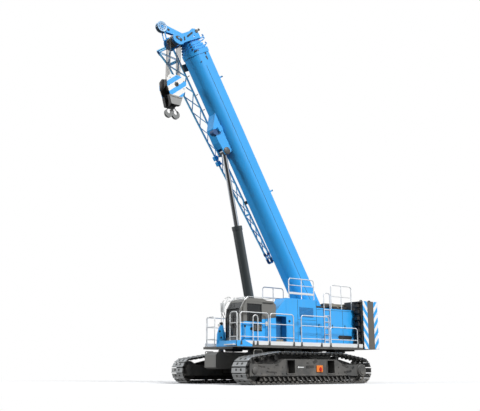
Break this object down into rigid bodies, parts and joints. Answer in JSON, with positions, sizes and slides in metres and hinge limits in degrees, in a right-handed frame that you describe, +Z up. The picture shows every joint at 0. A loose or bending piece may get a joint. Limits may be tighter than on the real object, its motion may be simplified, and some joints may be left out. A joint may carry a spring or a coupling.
{
  "type": "crawler crane",
  "caption": "Crawler crane with a telescopic boom raised steeply, luffing cylinder, hook block on rope falls, stowed lattice jib, cab and rear counterweight.",
  "frame": {"origin": "on the ground under the middle of the crane's box", "axes": "+X forward, towards the hook; +Y to the crane's left, the cab's side; +Z up"},
  "size_m": [9.976, 4.64, 13.5308],
  "materials": {
    "track_steel": "worn",
    "frame_grey": "satin",
    "ballast_grey": "satin",
    "sky_blue": "gloss",
    "cab_grey": "satin",
    "rail_white": "satin",
    "weight_grey": "satin",
    "barrel_green": "satin",
    "chrome_rod": "polished",
    "sheave_grey": "machined",
    "rope_steel": "drawn",
    "hook_steel": "forged",
    "drum_steel": "wound",
    "glass": "clear",
    "seat_cloth": "woven",
    "engine_iron": "cast",
    "exhaust_steel": "brushed",
    "mirror_black": "matt"
  },
  "bodies": {
    "undercarriage": {"carbody": "frame_grey", "crossbeams": "frame_grey", "tie_down_lugs": "frame_grey", "central_ballast": "ballast_grey", "left_track_frame": "frame_grey", "right_track_frame": "frame_grey", "left_track": "track_steel", "right_track": "track_steel", "idlers": "frame_grey", "sprockets": "frame_grey", "final_drives": "frame_grey", "track_rollers": "frame_grey", "track_steps": "frame_grey"},
    "upper": {"slew_ring": "frame_grey", "main_frame": "sky_blue", "left_deck": "frame_grey", "right_deck": "frame_grey", "toe_boards": "rail_white", "guard_rails": "rail_white", "ladder": "rail_white", "cab_shell": "cab_grey", "cab_windows": "glass", "operator_seat": "seat_cloth", "front_fairing": "sky_blue", "mirrors": "mirror_black", "left_house": "sky_blue", "left_hood": "sky_blue", "engine_house": "sky_blue", "engine": "engine_iron", "exhaust": "exhaust_steel", "fuel_tank": "sky_blue", "counterweight": "weight_grey", "lift_posts": "weight_grey"},
    "cab_door_leaf": {"cab_door": "sky_blue", "door_window": "glass"},
    "engine_door_leaf": {"engine_door": "sky_blue"},
    "main_winch": {"main_winch_drum": "drum_steel"},
    "rear_winch": {"rear_winch_drum": "drum_steel"},
    "boom": {"boom_base": "sky_blue", "fly_jib": "sky_blue", "jib_brackets": "frame_grey"},
    "section_2": {"boom_section_2": "sky_blue"},
    "section_3": {"boom_section_3": "sky_blue"},
    "section_4": {"boom_section_4": "sky_blue"},
    "section_5": {"boom_section_5": "sky_blue", "boom_head": "sky_blue", "head_sheaves": "sheave_grey"},
    "block": {"hook_block": "sky_blue", "block_sheaves": "sheave_grey", "rope_falls": "rope_steel"},
    "hook": {"hook": "hook_steel"},
    "luff_rod": {"luff_rod": "chrome_rod"},
    "luff_barrel": {"luff_barrel": "barrel_green"}
  },
  "joints": [
    {"name": "slew", "type": "hinge", "parent": "undercarriage", "child": "upper", "pos_m": [-0.53804, 0, 1.14], "axis": [0, 0, 1], "continuous": true},
    {"name": "cab_door_slide", "type": "slide", "parent": "upper", "child": "cab_door_leaf", "axis": [-1, 0, 0], "range_m": [0, 0.62]},
    {"name": "engine_door_hinge", "type": "hinge", "parent": "upper", "child": "engine_door_leaf", "pos_m": [-0.83804, -1.5, 2.15], "axis": [0, 0, 1], "range_deg": [0, 100]},
    {"name": "main_winch_spin", "type": "hinge", "parent": "upper", "child": "main_winch", "pos_m": [-3.55804, 0, 2.86], "axis": [0, 1, 0], "continuous": true},
    {"name": "rear_winch_spin", "type": "hinge", "parent": "upper", "child": "rear_winch", "pos_m": [-4.27804, 0, 2.86], "axis": [0, 1, 0], "continuous": true},
    {"name": "luff", "type": "hinge", "parent": "upper", "child": "boom", "pos_m": [-2.58804, 0, 2.65], "axis": [0, -1, 0], "range_deg": [-59.25, 20.75]},
    {"name": "extend_2", "type": "slide", "parent": "boom", "child": "section_2", "axis": [0.5113, 0, 0.8594], "range_m": [0, 8.7]},
    {"name": "extend_3", "type": "slide", "parent": "section_2", "child": "section_3", "axis": [0.5113, 0, 0.8594], "range_m": [0, 8.7]},
    {"name": "extend_4", "type": "slide", "parent": "section_3", "child": "section_4", "axis": [0.5113, 0, 0.8594], "range_m": [0, 8.7]},
    {"name": "extend_5", "type": "slide", "parent": "section_4", "child": "section_5", "axis": [0.5113, 0, 0.8594], "range_m": [0, 8.7]},
    {"name": "block_hang", "type": "hinge", "parent": "section_5", "child": "block", "pos_m": [4.20922, 0, 12.84495], "axis": [0, -1, 0], "range_deg": [-20.75, 59.25]},
    {"name": "hook_swivel", "type": "hinge", "parent": "block", "child": "hook", "pos_m": [4.20922, 0, 10], "axis": [0, 0, 1], "continuous": true},
    {"name": "rod_eye", "type": "hinge", "parent": "boom", "child": "luff_rod", "pos_m": [1.79009, 0, 8.83158], "axis": [0, -1, 0], "range_deg": [-12.98, 4.58]},
    {"name": "barrel_stroke", "type": "slide", "parent": "luff_rod", "child": "luff_barrel", "axis": [-0.2158, 0, -0.9764], "range_m": [-2.62, 0.921]}
  ],
  "couplings": [
    {"joint": "extend_3", "follows": "extend_2", "ratio": 1},
    {"joint": "extend_4", "follows": "extend_2", "ratio": 1},
    {"joint": "extend_5", "follows": "extend_2", "ratio": 1},
    {"joint": "block_hang", "follows": "luff", "ratio": -1},
    {"joint": "rod_eye", "follows": "luff", "ratio": 0.21812},
    {"joint": "barrel_stroke", "follows": "luff", "m_per_rad": 2.5279}
  ]
}
